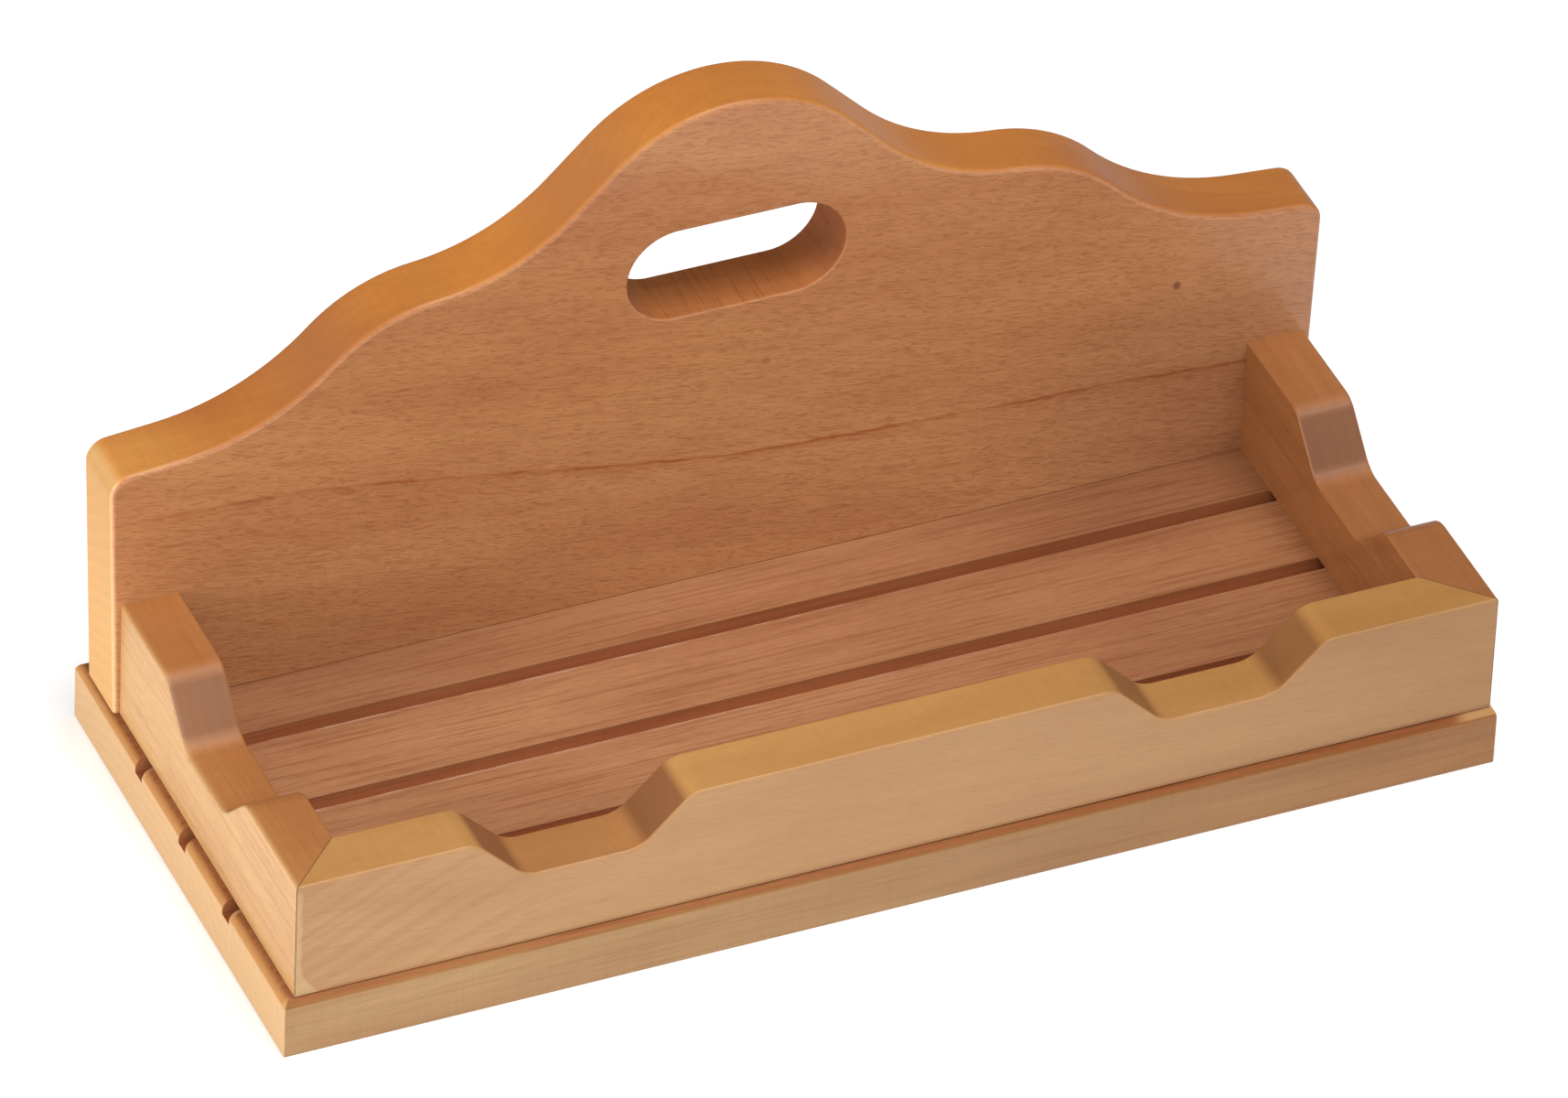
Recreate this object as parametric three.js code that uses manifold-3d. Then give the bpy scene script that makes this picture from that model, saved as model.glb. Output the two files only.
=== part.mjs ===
// Carrying rack of solid beech: a grooved base board, a scalloped back board with a hand hole, two
// sides and a front rail that is mitred to them. The frame is glued, the sides are dowelled into the
// back board, and countersunk screws come up through the base board into all four.
// Millimetres, +Z up. The origin is the middle of the base board's underside. +X runs along the
// rack, and the low front rail is on the -Y side.
import * as THREE from "three";
import { mergeVertices } from "three/addons/utils/BufferGeometryUtils.js";
import Module from "manifold-3d";

// ---- Driving dimensions ----------------------------------------------------------------------

// The frame stands 1 mm right of the base board's middle.
const BASE = { length: 505, depth: 220, thickness: 27, arris: 5, middle: -1 };
// Three grooves along the floor, the middle one a little in front of the origin.
const GROOVE = { middle: -3.5, pitch: 45.5, width: 7, depth: 6.5, lip: 0.5 };

// Sides and front rail: one stock, standing on the base board.
const FRAME = { length: 498, height: 53, stock: 24, arris: 1.2, front: -108 };

// Finger scoops in the top edges of the sides and the rail, all with the same sloping ends.
const SCOOP = { depth: 21, slope: 45, lipRadius: 12, footRadius: 14 };
const RAIL_SCOOPS = { centre: 132, halfWidth: 49 };
const SIDE_SCOOP = { centre: -13.5, halfWidth: 46 };

// The back board's ends splay outwards, by this many degrees, from its length at the foot.
const BACK = { length: 503, height: 228, thickness: 28, arris: 2.2, front: 73.5, corner: 9, splay: 1.3 };
// Cut by eye, a little to the right of the crest's middle.
const HAND_HOLE = { centre: 3.5, width: 91, height: 41.5, middle: 151.7 };
// Right half of the crest, from its top outwards: arcs as [radius, turn in degrees], turning left
// where positive, and straights as [length]. The left half mirrors it.
const CREST = [[70, -45], [23], [89, 40], [69, -40], [101, 40]];

const SCREW = { length: 60, head: 10, rim: 0.6, thread: 5, shank: 3.8, point: 6, sunk: 0.5 };
const RECESS = { reach: 2.4, web: 0.55, depth: 2 };
const SCREW_ROWS = {
  back: [[-225, 87.5], [-75, 87.5], [75, 87.5], [225, 87.5]],
  left_side: [[-237, 38], [-237, -75]],
  right_side: [[237, 38], [237, -75]],
  front_rail: [[-205, -96], [0, -96], [205, -96]],
};
const DOWEL = { diameter: 8, length: 40, chamfer: 1, heights: [17, 38] };

const GAP = 0.3;        // clearance round a fastener and across a mitre
const SPARE = 12;       // how far a blank runs past the faces that are then cut true
const FAR = 400;        // past every face of the rack, for cutters that take all on one side
const OVERCUT = 2;      // how far a hole's or recess's cutter runs out of the wood or metal
const ARC_ERROR = 0.08; // how far a facet may stand off its true arc

const floorTop = BASE.thickness;
const sideMiddle = (FRAME.length - FRAME.stock) / 2;

// ---- Solids: three.js geometry in and out of manifold-3d --------------------------------------

const wasm = await Module();
wasm.setup();

function solidOf(geometry) {
  geometry.deleteAttribute("normal");
  geometry.deleteAttribute("uv");
  const merged = mergeVertices(geometry, 1e-4);
  return new wasm.Manifold(new wasm.Mesh({
    numProp: 3,
    vertProperties: new Float32Array(merged.attributes.position.array),
    triVerts: new Uint32Array(merged.index.array),
  }));
}

function geometryOf(solid) {
  const mesh = solid.getMesh();
  const geometry = new THREE.BufferGeometry();
  geometry.setAttribute("position", new THREE.BufferAttribute(mesh.vertProperties, 3));
  geometry.setIndex(new THREE.BufferAttribute(mesh.triVerts, 1));
  geometry.computeVertexNormals();
  return geometry;
}

function box(min, max) {
  const size = max.map((high, i) => high - min[i]);
  const middle = max.map((high, i) => (high + min[i]) / 2);
  return solidOf(new THREE.BoxGeometry(...size).translate(...middle));
}

function cut(solid, cutters) {
  return cutters.reduce((left, cutter) => left.subtract(cutter), solid);
}

// ---- Outlines ---------------------------------------------------------------------------------

function arcFacets(radius, turn) {
  const step = 2 * Math.acos(1 - ARC_ERROR / radius);
  return Math.ceil(Math.abs(THREE.MathUtils.degToRad(turn)) / step);
}

// Points of a chain of tangent arcs and straights, from a start point and a heading in degrees.
function walk(start, heading, steps) {
  const points = [start.clone()];
  let angle = THREE.MathUtils.degToRad(heading);
  for (const [size, turn] of steps) {
    const facets = turn === undefined ? 1 : arcFacets(size, turn);
    const bend = THREE.MathUtils.degToRad(turn ?? 0) / facets;
    const chord = turn === undefined ? size : 2 * size * Math.sin(Math.abs(bend) / 2);
    for (let i = 0; i < facets; i += 1) {
      const direction = angle + bend / 2;
      const last = points[points.length - 1];
      points.push(new THREE.Vector2(
        last.x + chord * Math.cos(direction),
        last.y + chord * Math.sin(direction),
      ));
      angle += bend;
    }
  }
  return points;
}

const mirrored = (points, axis = 0) =>
  points.map((p) => new THREE.Vector2(2 * axis - p.x, p.y)).reverse();

// Top edge of one scoop, left to right, at a board height.
function scoopEdge(centre, halfWidth, height) {
  const { depth, slope, lipRadius, footRadius } = SCOOP;
  const angle = THREE.MathUtils.degToRad(slope);
  const arcDrop = (lipRadius + footRadius) * (1 - Math.cos(angle));
  const ramp = (depth - arcDrop) / Math.sin(angle);
  const start = new THREE.Vector2(centre - halfWidth, height);
  const down = walk(start, 0, [[lipRadius, -slope], [ramp], [footRadius, slope]]);
  return [...down, ...mirrored(down, centre)];
}

// Outline of a low board from x = left to x = right, with scoops in its top edge.
function boardOutline(left, right, scoops) {
  const top = scoops.flatMap(({ centre, halfWidth }) => scoopEdge(centre, halfWidth, FRAME.height));
  return [
    new THREE.Vector2(left, -SPARE),
    new THREE.Vector2(left, FRAME.height),
    ...top,
    new THREE.Vector2(right, FRAME.height),
    new THREE.Vector2(right, -SPARE),
  ].reverse();
}

// Outline of the back board: the crest, a round corner and a straight splayed end, mirrored.
function backOutline() {
  const half = BACK.length / 2;
  const crest = walk(new THREE.Vector2(0, BACK.height), 0, CREST);
  const end = crest[crest.length - 1];
  const heading = CREST.reduce((sum, [, turn]) => sum + (turn ?? 0), 0);
  const slope = THREE.MathUtils.degToRad(heading);
  const lean = Math.tan(THREE.MathUtils.degToRad(BACK.splay));
  const corner = [BACK.corner, -90 - BACK.splay - heading];
  const bend = walk(new THREE.Vector2(), heading, [corner]).pop().add(end);
  const run = (half - bend.x + bend.y * lean) / (Math.cos(slope) - lean * Math.sin(slope));
  const right = [
    ...crest,
    ...walk(end, heading, [[run], corner]).slice(1),
    new THREE.Vector2(half - SPARE * lean, -SPARE),
  ];
  return [...right, ...mirrored(right.slice(1))].reverse();
}

// ---- Board blanks -----------------------------------------------------------------------------

// A board of the given outline, extruded by its thickness, with rounded arrises on both faces.
function roundedBoard(outline, thickness, arris, holes = []) {
  const shape = new THREE.Shape(outline);
  shape.holes = holes;
  return new THREE.ExtrudeGeometry(shape, {
    depth: thickness - 2 * arris,
    bevelEnabled: true,
    bevelThickness: arris,
    bevelSize: arris,
    bevelOffset: -arris,
    bevelSegments: 4,
    curveSegments: 8,
  }).translate(0, 0, arris);
}

const X = new THREE.Vector3(1, 0, 0);
const Y = new THREE.Vector3(0, 1, 0);
const Z = new THREE.Vector3(0, 0, 1);
// Stands an outline drawn in X and Z, or in Y and Z, upright on the base board.
const facingFront = new THREE.Matrix4().makeBasis(X, Z, Y.clone().negate());
const facingSide = new THREE.Matrix4().makeBasis(Y, Z, X);

const underFloor = box([-FAR, -FAR, -FAR], [FAR, FAR, floorTop]);

// ---- Fasteners --------------------------------------------------------------------------------

// Profile of a screw from its head face up to its tip. The hole for it is the same profile, grown by
// the clearance all round and run out below the head.
function screwProfile(clearance) {
  const head = SCREW.head / 2 + clearance;
  const thread = SCREW.thread / 2 + clearance;
  const shank = clearance > 0 ? thread : SCREW.shank / 2;
  const face = clearance > 0 ? -OVERCUT : 0;
  const neck = SCREW.rim + head - shank;
  const threadStart = floorTop - 2;
  const tip = SCREW.length + clearance;
  return [[0, face], [head, face], [head, SCREW.rim], [shank, neck], [shank, threadStart],
    [thread, threadStart + 1], [thread, tip - SCREW.point], [0, tip]]
    .map(([radius, height]) => new THREE.Vector2(radius, height));
}

const upright = (geometry) => geometry.rotateX(Math.PI / 2);

function screwBody(clearance) {
  return solidOf(upright(new THREE.LatheGeometry(screwProfile(clearance), 18)));
}

// Cross recess in the head, cut upwards from its face.
function crossRecess() {
  const { reach, web, depth } = RECESS;
  const outline = [[reach, -web], [reach, web], [web, web], [web, reach], [-web, reach], [-web, web],
    [-reach, web], [-reach, -web], [-web, -web], [-web, -reach], [web, -reach], [web, -web]]
    .map(([x, y]) => new THREE.Vector2(x, y));
  const bar = new THREE.ExtrudeGeometry(new THREE.Shape(outline), {
    depth: depth + OVERCUT,
    bevelEnabled: false,
  });
  return solidOf(bar.translate(0, 0, -OVERCUT));
}

const screwHole = screwBody(GAP);
const screw = screwBody(0).subtract(crossRecess());

const screwHoles = (places) => places.map(([x, y]) => screwHole.translate(x, y, SCREW.sunk));
const allScrewHoles = screwHoles(Object.values(SCREW_ROWS).flat());

function dowelBody(clearance) {
  const radius = DOWEL.diameter / 2 + clearance;
  const half = DOWEL.length / 2 + clearance;
  const profile = [[0, -half], [radius - DOWEL.chamfer, -half], [radius, -half + DOWEL.chamfer],
    [radius, half - DOWEL.chamfer], [radius - DOWEL.chamfer, half], [0, half]]
    .map(([r, along]) => new THREE.Vector2(r, along));
  return solidOf(new THREE.LatheGeometry(profile, 16));
}

const dowelPlaces = (side) => DOWEL.heights.map((height) => [side * sideMiddle, floorTop + height]);
const dowelHoles = (side) =>
  dowelPlaces(side).map(([x, z]) => dowelBody(GAP).translate(x, BACK.front, z));

// ---- Boards -----------------------------------------------------------------------------------

// Cross-section of one groove: straight walls, a flat bottom and lips that round over.
function grooveCutter(y) {
  const { width, depth, lip } = GROOVE;
  const half = width / 2;
  const lead = new THREE.Vector2(half + lip, 1);
  const lipArc = walk(new THREE.Vector2(half + lip, 0), 180, [[lip, 90]]);
  const right = [lead, ...lipArc, new THREE.Vector2(half, -depth)];
  const bar = new THREE.ExtrudeGeometry(new THREE.Shape([...right, ...mirrored(right)].reverse()), {
    depth: BASE.length + 2 * SPARE,
    bevelEnabled: false,
  });
  bar.translate(0, 0, -BASE.length / 2 - SPARE).applyMatrix4(facingSide);
  return solidOf(bar.translate(0, y, floorTop));
}

function baseBoard() {
  const { length, depth, thickness, arris, middle } = BASE;
  const [x, y] = [length / 2, depth / 2];
  const outline = [[-x, -y], [x, -y], [x, y], [-x, y]].map(([a, b]) => new THREE.Vector2(a, b));
  const blank = roundedBoard(outline, thickness + SPARE, arris).translate(middle, 0, -SPARE);
  const grooves = [-1, 0, 1].map((row) => grooveCutter(GROOVE.middle + row * GROOVE.pitch));
  const underside = box([-FAR, -FAR, -FAR], [FAR, FAR, 0]);
  return cut(solidOf(blank), [underside, ...grooves, ...allScrewHoles]);
}

function handHole() {
  const { centre, width, height, middle } = HAND_HOLE;
  const radius = height / 2;
  const reach = width / 2 - radius;
  const hole = new THREE.Path();
  hole.absarc(centre + reach, middle, radius, -Math.PI / 2, Math.PI / 2, false);
  hole.absarc(centre - reach, middle, radius, Math.PI / 2, 3 * Math.PI / 2, false);
  return hole;
}

function backBoard() {
  const blank = roundedBoard(backOutline(), BACK.thickness, BACK.arris, [handHole()]);
  blank.applyMatrix4(facingFront).translate(0, BACK.front + BACK.thickness, floorTop);
  return cut(solidOf(blank),
    [underFloor, ...screwHoles(SCREW_ROWS.back), ...dowelHoles(-1), ...dowelHoles(1)]);
}

// Everything past the mitre plane at one front corner, on the rail's or on the side's part of it.
function pastMitre(side, keepRail) {
  const corner = new THREE.Vector2(side * FRAME.length / 2, FRAME.front);
  const inward = new THREE.Vector2(-side, 1).normalize();
  const across = new THREE.Vector2(side, 1).normalize().multiplyScalar(keepRail ? 1 : -1);
  const near = corner.clone().addScaledVector(across, -GAP / 2);
  const corners = [
    near.clone().addScaledVector(inward, -FAR),
    near.clone().addScaledVector(inward, FAR),
    near.clone().addScaledVector(inward, FAR).addScaledVector(across, FAR),
    near.clone().addScaledVector(inward, -FAR).addScaledVector(across, FAR),
  ];
  const prism = new THREE.ExtrudeGeometry(new THREE.Shape(corners), {
    depth: FAR,
    bevelEnabled: false,
  });
  return solidOf(prism);
}

function frontRail() {
  const reach = FRAME.length / 2 + SPARE;
  const scoops = [-1, 1].map((side) => ({
    centre: side * RAIL_SCOOPS.centre,
    halfWidth: RAIL_SCOOPS.halfWidth,
  }));
  const blank = roundedBoard(boardOutline(-reach, reach, scoops), FRAME.stock, FRAME.arris);
  blank.applyMatrix4(facingFront).translate(0, FRAME.front + FRAME.stock, floorTop);
  return cut(solidOf(blank), [underFloor, pastMitre(-1, true), pastMitre(1, true),
    ...screwHoles(SCREW_ROWS.front_rail)]);
}

function sideBoard(side, screwPlaces) {
  const outline = boardOutline(FRAME.front - SPARE, BACK.front + SPARE, [SIDE_SCOOP]);
  const blank = roundedBoard(outline, FRAME.stock, FRAME.arris);
  blank.applyMatrix4(facingSide).translate(side * sideMiddle - FRAME.stock / 2, 0, floorTop);
  const behind = box([-FAR, BACK.front, -FAR], [FAR, FAR, FAR]);
  return cut(solidOf(blank), [underFloor, behind, pastMitre(side, false),
    ...screwHoles(screwPlaces), ...dowelHoles(side)]);
}

// ---- Materials --------------------------------------------------------------------------------

const wood = (color) => new THREE.MeshStandardMaterial({ color, roughness: 0.42, metalness: 0 });
const beechBase = wood(0xc08a5c);
const beechBack = wood(0xbd7f50);
const beechSide = wood(0xc98b55);
const beechRail = wood(0xcaa06b);
const dowelBeech = new THREE.MeshStandardMaterial({ color: 0xd9b98c, roughness: 0.7, metalness: 0 });
const zincSteel = new THREE.MeshStandardMaterial({ color: 0xb9bcc0, roughness: 0.35, metalness: 1 });

// ---- Assembly ---------------------------------------------------------------------------------

const rack = new THREE.Group();

function place(name, solid, material, x = 0, y = 0, z = 0) {
  const mesh = new THREE.Mesh(geometryOf(solid), material);
  mesh.name = name;
  mesh.position.set(x, y, z);
  rack.add(mesh);
}

place("base_board", baseBoard(), beechBase);
place("back_panel", backBoard(), beechBack);
place("left_side", sideBoard(-1, SCREW_ROWS.left_side), beechSide);
place("right_side", sideBoard(1, SCREW_ROWS.right_side), beechSide);
place("front_rail", frontRail(), beechRail);

for (const [row, places] of Object.entries(SCREW_ROWS)) {
  places.forEach(([x, y], i) => place(`${row}_screw_${i + 1}`, screw, zincSteel, x, y, SCREW.sunk));
}

for (const [name, side] of [["left", -1], ["right", 1]]) {
  dowelPlaces(side).forEach(([x, z], i) =>
    place(`${name}_dowel_${i + 1}`, dowelBody(0), dowelBeech, x, BACK.front, z));
}

export default rack;
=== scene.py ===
"""Looks of the beech carrying rack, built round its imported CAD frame.

Metres, +Z up. The rack's length runs along X, and its low front rail is on the -Y side. The five
boards are remade here with fine rounded arrises, in the boxes that the CAD boards hold, and get
procedural solid beech. The screws and dowels stay as the CAD made them, with better materials.
"""

import functools
import math

import bmesh
import bpy
from mathutils import Matrix, Vector


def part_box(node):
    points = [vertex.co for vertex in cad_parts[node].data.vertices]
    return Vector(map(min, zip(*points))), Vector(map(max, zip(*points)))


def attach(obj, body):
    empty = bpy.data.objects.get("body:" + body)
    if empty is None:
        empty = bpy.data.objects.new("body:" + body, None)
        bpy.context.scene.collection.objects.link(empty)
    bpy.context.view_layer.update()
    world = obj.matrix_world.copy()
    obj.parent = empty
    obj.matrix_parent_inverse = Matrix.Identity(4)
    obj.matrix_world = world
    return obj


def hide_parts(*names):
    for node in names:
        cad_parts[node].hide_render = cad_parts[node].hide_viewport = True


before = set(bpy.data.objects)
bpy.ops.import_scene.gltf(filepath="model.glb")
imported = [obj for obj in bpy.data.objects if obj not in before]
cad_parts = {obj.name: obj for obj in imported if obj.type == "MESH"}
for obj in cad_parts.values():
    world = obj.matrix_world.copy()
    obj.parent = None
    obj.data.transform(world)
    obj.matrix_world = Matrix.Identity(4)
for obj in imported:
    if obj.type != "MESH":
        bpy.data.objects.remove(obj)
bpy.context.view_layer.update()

# ---- Sizes ---------------------------------------------------------------------------------------

MM = 0.001
BASE_ARRIS = 5.0 * MM
FRAME_ARRIS = 1.2 * MM
BACK_ARRIS = 2.2 * MM
HOLE_ARRIS = 1.0 * MM
EASING = 0.35 * MM
GROOVE = {"middle": -3.5 * MM, "pitch": 45.5 * MM, "width": 7 * MM, "depth": 6.5 * MM,
          "lip": 0.5 * MM}
SCOOP = {"depth": 21 * MM, "slope": 45, "lip": 12 * MM, "foot": 14 * MM}
RAIL_SCOOP_CENTRE = 132 * MM
RAIL_SCOOP_HALF = 49 * MM
SIDE_SCOOP_CENTRE = -13.5 * MM
SIDE_SCOOP_HALF = 46 * MM
HAND_HOLE = {"centre": 3.5 * MM, "width": 91 * MM, "height": 41.5 * MM, "middle": 151.7 * MM}
BACK_LENGTH = 503 * MM    # at its foot, from which the ends splay outwards
BACK_SPLAY = math.radians(1.3)
BACK_CORNER = 9 * MM
# Right half of the crest, from its top outwards: arcs as (radius, turn), straights as (length,).
CREST = [(70 * MM, -45), (23 * MM,), (89 * MM, 40), (69 * MM, -40), (101 * MM, 40)]

SCREW = {"thread": 5 * MM, "rim": 0.6 * MM, "point": 6 * MM}

ARC_STEP = math.radians(3)
LIP_ARC_STEP = math.radians(15)
ARRIS_STEPS = 6
LATHE_SIDES = 32
SHARP = math.radians(32)    # edges that turn more than this are eased, and shaded sharp
PARALLEL = 1e-4             # cross product below which two unit normals are taken as parallel
MITRE_GAP = 0.04 * MM       # taken off each board at the mitre, besides what the CAD rail leaves
HOLE_CLEARANCE = 0.3 * MM
OVERSHOOT = 2 * MM          # how far a cutter stands out of the wood


def low(node):
    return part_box(node)[0]


def high(node):
    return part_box(node)[1]


FLOOR_TOP = high("base_board").z
FRAME_HEIGHT = high("front_rail").z - FLOOR_TOP
RAIL_STOCK = high("front_rail").y - low("front_rail").y

# ---- Outlines: tangent arcs and straights --------------------------------------------------------


def walk(start, heading, steps, arc_step=ARC_STEP):
    """Points of a chain of arcs and straights from start, with the heading and turns in degrees."""
    points = [Vector(start)]
    angle = math.radians(heading)
    for size, *turned in steps:
        turn = math.radians(turned[0]) if turned else 0.0
        count = max(1, math.ceil(abs(turn) / arc_step))
        bend = turn / count
        chord = 2 * size * math.sin(abs(bend) / 2) if turned else size
        for _ in range(count):
            direction = angle + bend / 2
            points.append(points[-1] + chord * Vector((math.cos(direction), math.sin(direction))))
            angle += bend
    return points


def mirrored(points, axis=0.0):
    return [Vector((2 * axis - p.x, p.y)) for p in reversed(points)]


def scoop_edge(centre, half_width, height):
    """Top edge of one finger scoop, from left to right."""
    slope = math.radians(SCOOP["slope"])
    arc_drop = (SCOOP["lip"] + SCOOP["foot"]) * (1 - math.cos(slope))
    ramp = (SCOOP["depth"] - arc_drop) / math.sin(slope)
    steps = [(SCOOP["lip"], -SCOOP["slope"]), (ramp,), (SCOOP["foot"], SCOOP["slope"])]
    down = walk((centre - half_width, height), 0, steps)
    return down + mirrored(down, centre)


def board_outline(left, right, scoops):
    """Anticlockwise outline of a low board that stands on v = 0, with scoops in its top edge."""
    top = [p for centre, half_width in scoops for p in scoop_edge(centre, half_width, FRAME_HEIGHT)]
    corners = [Vector((left, 0)), Vector((left, FRAME_HEIGHT))]
    return (corners + top + [Vector((right, FRAME_HEIGHT)), Vector((right, 0))])[::-1]


def back_outline():
    """Anticlockwise outline of the back board: crest, round corners and splayed ends."""
    half = BACK_LENGTH / 2
    crest = walk((0, high("back_panel").z - FLOOR_TOP), 0, CREST)
    heading = sum(step[1] for step in CREST if len(step) == 2)
    slope = math.radians(heading)
    lean = math.tan(BACK_SPLAY)
    corner = (BACK_CORNER, -90 - math.degrees(BACK_SPLAY) - heading)
    bend = crest[-1] + walk((0, 0), heading, [corner])[-1]
    run = (half - bend.x + bend.y * lean) / (math.cos(slope) - lean * math.sin(slope))
    end = walk(crest[-1], heading, [(run,), corner])
    right = crest + end[1:] + [Vector((half, 0))]
    return (right + mirrored(right)[:-1])[::-1]


def stadium():
    """Clockwise outline of the hand hole."""
    radius = HAND_HOLE["height"] / 2
    straight = HAND_HOLE["width"] - 2 * radius
    start = (HAND_HOLE["centre"] - straight / 2, HAND_HOLE["middle"] + radius)
    half_turn = (radius, -180)
    return walk(start, 0, [(straight,), half_turn, (straight,), half_turn])[:-1]


# ---- Boards in mesh code -------------------------------------------------------------------------


def inset_directions(points, is_eased):
    """For each point of a contour, how it moves when the eased edges step 1 into the wood.

    The wood is on the left of the contour. is_eased says of each edge, by its two ends, whether it
    has a rounded arris.
    """
    count = len(points)
    normals, steps = [], []
    for i, here in enumerate(points):
        along = (points[(i + 1) % count] - here).normalized()
        normals.append(Vector((-along.y, along.x)))
        steps.append(1.0 if is_eased(here, points[(i + 1) % count]) else 0.0)
    moves = []
    for i in range(count):
        n1, n2, s1, s2 = normals[i - 1], normals[i], steps[i - 1], steps[i]
        area = n1.x * n2.y - n1.y * n2.x
        if abs(area) < PARALLEL:
            moves.append((n1 + n2) / 2 * s2)
        else:
            moves.append(Vector(((s1 * n2.y - s2 * n1.y) / area, (s2 * n1.x - s1 * n2.x) / area)))
    return moves


def arris_profile(thickness, radius, both_faces=True):
    """(inset, depth) of the rings that round a board's edge, from one face to the other."""
    quarter = [i * math.pi / 2 / ARRIS_STEPS for i in range(ARRIS_STEPS + 1)]
    near = [(radius * (1 - math.sin(a)), radius * (1 - math.cos(a))) for a in quarter]
    far = [(inset, thickness - depth) for inset, depth in reversed(near)]
    return near + (far if both_faces else [(0.0, thickness)])


def ring_loop(bm, points, moves, inset, depth, place):
    return [bm.verts.new(place(p + move * inset, depth)) for p, move in zip(points, moves)]


def bridge(bm, ring_a, ring_b):
    count = len(ring_a)
    for i in range(count):
        j = (i + 1) % count
        bm.faces.new((ring_a[i], ring_a[j], ring_b[j], ring_b[i]))


def loop_edges(bm, ring):
    return [bm.edges.get((ring[i - 1], ring[i])) for i in range(len(ring))]


def board_mesh(contours, place):
    """A closed board. contours are (points, is_eased, profile), and place maps (point, depth)."""
    bm = bmesh.new()
    first_edges, last_edges = [], []
    for points, is_eased, profile in contours:
        moves = inset_directions(points, is_eased)
        rings = [ring_loop(bm, points, moves, inset, depth, place) for inset, depth in profile]
        for ring_a, ring_b in zip(rings, rings[1:]):
            bridge(bm, ring_a, ring_b)
        first_edges += loop_edges(bm, rings[0])
        last_edges += loop_edges(bm, rings[-1])
    for edges in (first_edges, last_edges):
        bmesh.ops.triangle_fill(bm, use_beauty=True, use_dissolve=True, edges=edges)
    bmesh.ops.recalc_face_normals(bm, faces=bm.faces)
    return bm


def piece_from(bm, name):
    mesh = bpy.data.meshes.new(name)
    bm.to_mesh(mesh)
    bm.free()
    obj = bpy.data.objects.new(name, mesh)
    bpy.context.scene.collection.objects.link(obj)
    return obj


def applied(obj):
    """Replaces an object's mesh by what its modifiers make of it."""
    bpy.context.view_layer.update()
    evaluated = obj.evaluated_get(bpy.context.evaluated_depsgraph_get())
    mesh = bpy.data.meshes.new_from_object(evaluated)
    obj.modifiers.clear()
    obj.data = mesh
    mesh.name = obj.name


def subtract(obj, cutter_bm):
    cutter = piece_from(cutter_bm, obj.name + "_cutter")
    modifier = obj.modifiers.new("holes", "BOOLEAN")
    modifier.operation = "DIFFERENCE"
    modifier.solver = "EXACT"
    modifier.object = cutter
    applied(obj)
    bpy.data.objects.remove(cutter)


def ease(obj):
    """Takes the knife edge off every sharp corner."""
    modifier = obj.modifiers.new("eased", "BEVEL")
    modifier.limit_method = "ANGLE"
    modifier.angle_limit = SHARP
    modifier.width = EASING
    modifier.segments = 2
    applied(obj)


def smooth(obj):
    """Shades the rounded arrises smooth and keeps the flats flat."""
    for polygon in obj.data.polygons:
        polygon.use_smooth = True
    obj.data.set_sharp_from_angle(angle=SHARP)
    modifier = obj.modifiers.new("flat_faces", "WEIGHTED_NORMAL")
    modifier.mode = "FACE_AREA"
    modifier.keep_sharp = True


# ---- Cutters for grooves, screws and dowels ------------------------------------------------------


def add_lathe(bm, profile, centre, axis):
    """Adds a closed turned solid. profile is (radius, height along axis), from end to end."""
    turn = axis.to_track_quat("Z", "Y").to_matrix()
    rings = []
    for radius, height in profile:
        if radius == 0:
            rings.append([bm.verts.new(centre + turn @ Vector((0, 0, height)))])
            continue
        angles = [2 * math.pi * i / LATHE_SIDES for i in range(LATHE_SIDES)]
        points = [Vector((radius * math.cos(a), radius * math.sin(a), height)) for a in angles]
        rings.append([bm.verts.new(centre + turn @ point) for point in points])
    for lower, upper in zip(rings, rings[1:]):
        for i in range(LATHE_SIDES):
            j = (i + 1) % LATHE_SIDES
            if len(lower) == 1:
                bm.faces.new((lower[0], upper[j], upper[i]))
            elif len(upper) == 1:
                bm.faces.new((lower[i], lower[j], upper[0]))
            else:
                bm.faces.new((lower[i], lower[j], upper[j], upper[i]))


def nodes_named(part):
    return sorted(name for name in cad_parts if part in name)


def middle_of(node):
    lower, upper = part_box(node)
    return (lower + upper) / 2


def add_screw_hole(bm, node):
    """Countersunk clearance hole round one CAD screw, run out below its head."""
    lower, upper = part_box(node)
    head = (upper.x - lower.x) / 2 + HOLE_CLEARANCE
    thread = SCREW["thread"] / 2 + HOLE_CLEARANCE
    rim = lower.z + SCREW["rim"]
    tip = upper.z + HOLE_CLEARANCE
    profile = [(0, lower.z - OVERSHOOT), (head, lower.z - OVERSHOOT), (head, rim),
               (thread, rim + head - thread), (thread, tip - SCREW["point"]), (0, tip)]
    middle = middle_of(node)
    add_lathe(bm, profile, Vector((middle.x, middle.y, 0)), Vector((0, 0, 1)))


def add_dowel_hole(bm, node):
    lower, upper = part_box(node)
    radius = (upper.x - lower.x) / 2 + HOLE_CLEARANCE
    reach = (upper.y - lower.y) / 2 + HOLE_CLEARANCE
    profile = [(0, -reach), (radius, -reach), (radius, reach), (0, reach)]
    add_lathe(bm, profile, middle_of(node), Vector((0, 1, 0)))


def fastener_cutter(screws, dowels=()):
    bm = bmesh.new()
    for node in screws:
        add_screw_hole(bm, node)
    for node in dowels:
        add_dowel_hole(bm, node)
    bmesh.ops.recalc_face_normals(bm, faces=bm.faces)
    return bm


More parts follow.
